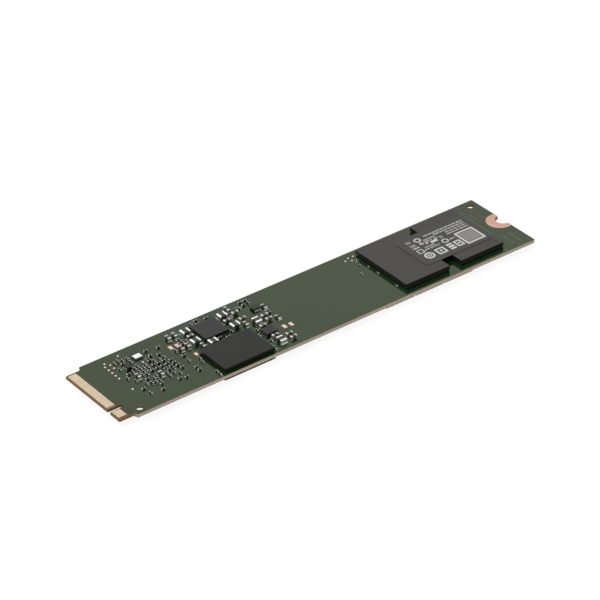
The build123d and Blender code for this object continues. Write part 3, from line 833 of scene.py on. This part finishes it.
sensor, regulator = nodeBox("sensor"), nodeBox("regulator")
sensorFit = {"scale": 0.76, "about": (sensor.high.x, sensor.centre.y + 0.25 * sensor.size.y,
                                      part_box("sensor_leads")[0].z)}
regulatorFit = {"scale": 0.85, "about": (regulator.centre.x, regulator.centre.y,
                                         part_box("regulator_leads")[0].z)}
softenedParts = (  # node, piece, finish, slot, rounding, then its segments and fit
    ("power_manager", "powerManagerMould", "icMould", "package_dark", 0.03, {}),
    ("power_manager_lands", "powerManagerRim", "solder", "solder", 0.012, {"segments": 1}),
    ("load_switch", "loadSwitchMould", "icMould", "package_dark", 0.04, {}),
    ("load_switch_leads", "loadSwitchLeads", "tinnedDull", "solder", 0.02, {}),
    ("sensor", "sensorMould", "icMould", "package_dark", 0.04, sensorFit),
    ("sensor_leads", "sensorLeads", "tinnedDull", "solder", 0.015, sensorFit),
    ("regulator", "regulatorMould", "icMould", "package_dark", 0.04, regulatorFit),
    ("regulator_leads", "regulatorLeads", "tinnedMatte", "solder", 0.015, regulatorFit),
    ("crystal_base", "crystalBase", "crystalBase", "ceramic", 0.03, {}),
    ("crystal_lid", "crystalLid", "crystalLid", "metal_lid", 0.05, {"segments": 3}),
    ("hold_up_capacitor_bodies", "holdUpBodies", "tanResin", "moulding", 0.05, {}),
    ("hold_up_capacitor_leads", "holdUpStraps", "tinned", "solder", 0.03, {}),
)
for *part, more in softenedParts:
    softened(*part, **more)
print("leaded packages made")


# contacts, lands and the mounting ring

softened("contacts_top", "contactFingersTop", "gold", "contact_gold", 0.012, segments=1)
softened("contacts_bottom", "contactFingersBottom", "gold", "contact_gold", 0.012, segments=1)

bareLand = {
    "edge": 0.012,
    # from the tip to the mounting end: scale, then shift along and across
    "fits": ((0.9, 0.13, -0.1), (0.9, 0.19, -0.3), (0.76, 0, 0.2), (0.9, 0, 0), (0.9, 0, -0.15)),
}


def buildBareLands():
    bm = bmesh.new()
    for (centre, size), (scale, along, across) in zip(solidBoxes("bare_lands"), bareLand["fits"]):
        shape = blockTemplate((size.x * scale, size.y * scale, size.z), bareLand["edge"] * mm,
                              segments=1)
        stamp(bm, shape, centre + Vector((along * mm, across * mm, 0)))
    addPiece("bareLands", bm, "landCopper", ("bare_lands",))


ring = {"landRadius": 3.15, "holeRadius": 1.75, "inset": 0.9, "steps": 64}


def buildRing(nodeName, name):
    box = nodeBox(nodeName)
    edgeX, inset = box.high.x, ring["inset"] * mm
    land, hole = ring["landRadius"] * mm, ring["holeRadius"] * mm
    half = math.acos(inset / land)  # the board's end cuts the ring at this angle
    bm = bmesh.new()
    drawOutline(bm, box.low.z, (edgeX, math.sin(half) * land), [
        (edgeX - inset, 0, 2 * (math.pi - half), ring["steps"]),
        (edgeX, -hole), (edgeX, 0, -math.pi, ring["steps"])])
    fillFlat(bm)
    thicken(bm, bm.faces[:], box.size.z)
    addPiece(name, bm, "copper", (nodeName,))


testLand = {
    "radius": 0.225, "topRadius": 0.21, "sides": 24,
    "extra": ((-39.51, 4.23), (-39.49, 2.92)),
    "shift": (0.19, 0.09),  # towards the mounting end, by the connector and by the packages
}


def buildTestLands():
    boxes = solidBoxes("test_lands")
    middle, thickness = boxes[0][0].z, boxes[0][1].z
    places = [(x * mm, y * mm, middle) for x, y in testLand["extra"]]
    for centre, size in boxes:
        shift = testLand["shift"][0 if centre.x < 0 else 1] * mm
        places.append((centre.x + shift, centre.y, middle))
    bm = bmesh.new()
    for place in places:
        made = bmesh.ops.create_cone(bm, cap_ends=True, segments=testLand["sides"],
                                     radius1=testLand["radius"] * mm,
                                     radius2=testLand["topRadius"] * mm, depth=thickness)
        bmesh.ops.translate(bm, verts=made["verts"], vec=place)
    addPiece("testLands", bm, "testCopper", ("test_lands",))


buildBareLands()
buildRing("mounting_land_top", "mountingRingTop")
buildRing("mounting_land_bottom", "mountingRingBottom")
buildTestLands()
print("contacts and lands made")


# label film and its generic print, places in mm on the card

label = {
    "radius": 0.8, "steps": 10, "inkThickness": 0.006, "inkEdge": 0.001, "ringSides": 40,
    "fieldShare": 0.4,  # of the ink's thickness, for the grey fields
    "rows": (  # start, end, across, height
        (35.4, 46.2, 3.95, 0.5), (37.6, 46.2, 3.1, 0.5), (40.3, 46.2, 2.25, 0.45),
        (40.0, 46.2, 1.4, 0.45), (34.3, 37.3, 2.6, 0.5), (34.1, 36.0, 1.9, 0.4),
        (32.8, 35.4, 0.05, 0.45), (32.1, 36.3, -0.75, 0.45), (39.2, 40.7, -0.65, 0.45),
        (36.6, 37.6, 1.75, 0.5)),
    "bars": (  # from and to along, from and to across
        (35.2, 37.0, 0.6, 1.4), (30.2, 32.0, 0.85, 1.2), (33.9, 34.7, 1.05, 1.4),
        (36.9, 38.4, -2.55, -1.9), (36.9, 38.4, -3.45, -2.8), (36.9, 38.4, -4.35, -3.7),
        (39.55, 40.05, -3.4, -2.8), (34.5, 35.1, -3.4, -2.8)),
    "greyFields": ((30.3, 31.8, 1.6, 2.7), (37.9, 38.7, 0.9, 1.9), (41.8, 45.5, -4.2, -0.2),
                   (30.4, 31.6, 3.4, 4.3)),
    "frames": ((41.15, 46.2, -4.85, 0.5, 0.5), (33.6, 36.0, -4.3, -1.9, 0.45),
               (38.9, 40.7, -4.3, -1.9, 0.42), (30.3, 31.8, -1.4, 0.2, 0.22)),
    "rings": (  # centre, radius, line width
        (31.6, -3.1, 1.25, 0.45), (31.6, -3.1, 0.5, 0.25), (38.0, -0.5, 0.85, 0.3),
        (33.3, 3.5, 0.85, 0.35), (33.2, 1.85, 0.5, 0.25)),
}
ticks = {"widths": (0.08, 0.13, 0.06, 0.15, 0.1), "gap": 0.06,
         "groups": (12, 7, 16, 9, 6, 14), "groupGap": 0.16}


def printRow(start, end, across, height, alongY=False):
    # small plain ticks in groups, the size of printed characters but none of them one
    widths, groups = ticks["widths"], ticks["groups"]
    bars, at, count = [], start, 0
    number = int(abs(across) * 10)  # so that rows differ
    while at < end:
        wide = min(widths[number % len(widths)], end - at)
        span, cross = (at, at + wide), (across - height / 2, across + height / 2)
        bars.append(cross + span if alongY else span + cross)
        at += wide + ticks["gap"]
        number, count = number + 1, count + 1
        if count >= groups[number % len(groups)]:
            at += ticks["groupGap"]
            count = 0
    return bars


def frameBars(x0, x1, y0, y1, wide):
    return ((x0, x0 + wide, y0, y1), (x1 - wide, x1, y0, y1),
            (x0 + wide, x1 - wide, y0, y0 + wide), (x0 + wide, x1 - wide, y1 - wide, y1))


def stampBars(bm, bars, level, thickness):
    for x0, x1, y0, y1 in bars:
        size = ((x1 - x0) * mm, (y1 - y0) * mm, thickness)
        stamp(bm, blockTemplate(size, label["inkEdge"] * mm, segments=1),
              ((x0 + x1) / 2 * mm, (y0 + y1) / 2 * mm, level + thickness / 2))


def inkRing(bm, x, y, radius, wide, level, thickness):
    both = []
    for size in (radius, radius - wide):
        both += addCircle(bm, x * mm, y * mm, level, size * mm, label["ringSides"])
    edges = dict.fromkeys(e for v in both for e in v.link_edges)  # each once, in a fixed order
    made = bmesh.ops.bridge_loops(bm, edges=list(edges))
    thicken(bm, made["faces"], thickness)


def roundedSheet(bm, low, high, radius, steps, bottom, thickness):
    x0, x1, y0, y1 = low.x, high.x, low.y, high.y
    turn = (math.pi / 2, steps)
    drawOutline(bm, bottom, (x0 + radius, y0), [
        (x1 - radius, y0), (x1 - radius, y0 + radius, *turn),
        (x1, y1 - radius), (x1 - radius, y1 - radius, *turn),
        (x0 + radius, y1), (x0 + radius, y1 - radius, *turn),
        (x0, y0 + radius), (x0 + radius, y0 + radius, *turn)])
    made = bmesh.ops.edgenet_fill(bm, edges=bm.edges[:])
    thicken(bm, made["faces"], thickness)


def buildLabel():
    box = nodeBox("label")
    ink = label["inkThickness"] * mm
    level = box.high.z - ink
    film, rows, marks, fields = (bmesh.new() for count in range(4))
    roundedSheet(film, box.low, box.high, label["radius"] * mm, label["steps"], box.low.z,
                 box.size.z - ink)
    for row in label["rows"]:
        stampBars(rows, printRow(*row), level, ink)
    stampBars(marks, label["bars"], level, ink)
    for shape in label["frames"]:
        stampBars(marks, frameBars(*shape), level, ink)
    for shape in label["rings"]:
        inkRing(marks, *shape, level, ink)
    stampBars(fields, label["greyFields"], level, label["fieldShare"] * ink)
    addPiece("labelFilm", film, "labelFilm", ("label",))
    addPiece("labelRows", rows, "labelRowInk")
    addPiece("labelMarks", marks, "labelInk")
    addPiece("labelFields", fields, "labelInkGrey")


buildLabel()

# plain ticks and bars where the board carries small print
boardPrint = {
    "thickness": 0.012,
    "bars": [(50.45, 50.62, -9.3, -4.9), (52.35, 52.52, -9.3, -4.9), (49.15, 49.32, -3.0, 6.3),
             (50.45, 50.6, 3.3, 6.2), (51.85, 52.15, -3.85, -3.6), (50.9, 51.15, -10.4, -10.15),
             (51.8, 52.0, -10.3, -10.1)],
    "greyRow": (7.0, 8.6, 49.5, 0.5), "redRow": (3.2, 7.5, 51.9, 0.9),
}


def buildBoardPrint(name, bars, finishName):
    bm = bmesh.new()
    stampBars(bm, bars, nodeBox("circuit_board").high.z, boardPrint["thickness"] * mm)
    addPiece(name, bm, finishName)


greyBars = boardPrint["bars"] + printRow(*boardPrint["greyRow"], alongY=True)
buildBoardPrint("boardPrint", greyBars, "silkInk")
buildBoardPrint("boardPrintRed", printRow(*boardPrint["redRow"], alongY=True), "redInk")
print("label and print made")


# floor, light and camera

studio = {
    "floor": (124, 124, 123), "floorGlow": 0.885, "floorSize": 3.0,
    "world": 0.36,
    "softbox": {"place": (-0.12, 0.42, 0.84), "power": 4.5, "width": 0.8, "height": 0.8},
    "fill": {"place": (-0.35, -1.0, 0.16), "power": 3.4, "width": 1.2, "height": 0.24},
}


def directRays(tree):
    # 1 for the camera, for mirrors and for what is seen through glass
    rays = put(tree, "ShaderNodeLightPath", -800, 200).outputs
    seen = mathNode(tree, "MAXIMUM", -600, 200, rays["Is Camera Ray"], rays["Is Glossy Ray"])
    return mathNode(tree, "MAXIMUM", -400, 200, seen, rays["Is Transmission Ray"])


def buildFloor():
    bm = bmesh.new()
    bmesh.ops.create_grid(bm, x_segments=1, y_segments=1, size=studio["floorSize"])
    floor = addObject("studioFloor", meshFrom(bm, "studioFloor"))
    material, tree = blankMaterial("floorPaint")[:2]
    tree.nodes.clear()
    paint = put(tree, "ShaderNodeBsdfDiffuse", -200, 0, Color=linear(*studio["floor"]))
    strength = mathNode(tree, "MULTIPLY", -300, -200, directRays(tree), studio["floorGlow"])
    glow = put(tree, "ShaderNodeEmission", -100, -200, Color=(1, 1, 1, 1), Strength=strength)
    both = put(tree, "ShaderNodeAddShader", 100, 0)
    # seen from below the floor isn't there, so the underside shows
    clear = put(tree, "ShaderNodeBsdfTransparent", 100, -200)
    surface = put(tree, "ShaderNodeNewGeometry", 0, 300)
    pick = put(tree, "ShaderNodeMixShader", 350, 0)
    output = put(tree, "ShaderNodeOutputMaterial", 600, 0)
    for source, socket in ((paint.outputs[0], both.inputs[0]), (glow.outputs[0], both.inputs[1]),
                           (surface.outputs["Backfacing"], pick.inputs[0]),
                           (both.outputs[0], pick.inputs[1]), (clear.outputs[0], pick.inputs[2]),
                           (pick.outputs[0], output.inputs["Surface"])):
        tree.links.new(source, socket)
    floor.data.materials.append(material)


def buildWorld():
    world = bpy.data.worlds.new("studioWorld")
    scene.world = world
    world.use_nodes = True
    tree = world.node_tree
    back = tree.nodes["Background"]
    back.inputs["Color"].default_value = (1, 1, 1, 1)
    strength = remap(tree, -200, 0, directRays(tree), 0.0, 1.0, studio["world"], 1.0)
    feed(tree, back.inputs["Strength"], strength)


def addLamp(name):
    look = studio[name]
    light = bpy.data.lights.new(name, "AREA")
    light.shape = "RECTANGLE"
    light.size, light.size_y = look["width"], look["height"]
    light.energy = look["power"]
    lamp = addObject(name, light)
    lamp.location = look["place"]
    lamp.rotation_mode = "QUATERNION"
    lamp.rotation_quaternion = (-Vector(look["place"])).to_track_quat("-Z", "Y")


buildFloor()
buildWorld()
addLamp("softbox")
addLamp("fill")

view = {
    "place": (-0.311604, -0.432457, 0.348598),
    "right": (0.80068219, -0.59831593, -0.03043154),
    "forward": (0.48901766, 0.68207145, -0.54372811),
    "lens": 177.85, "sensor": 36.0, "nearest": 0.02, "farthest": 10.0,
}


def buildCamera():
    data = bpy.data.cameras.new("photoCamera")
    data.lens, data.sensor_width = view["lens"], view["sensor"]
    data.clip_start, data.clip_end = view["nearest"], view["farthest"]
    camera = addObject("photoCamera", data)
    right, back = Vector(view["right"]).normalized(), -Vector(view["forward"]).normalized()
    turn = Matrix((right, back.cross(right), back)).transposed()
    camera.matrix_world = Matrix.Translation(view["place"]) @ turn.to_4x4()
    scene.camera = camera


buildCamera()
scene.view_settings.view_transform = "Standard"
print("stage made")
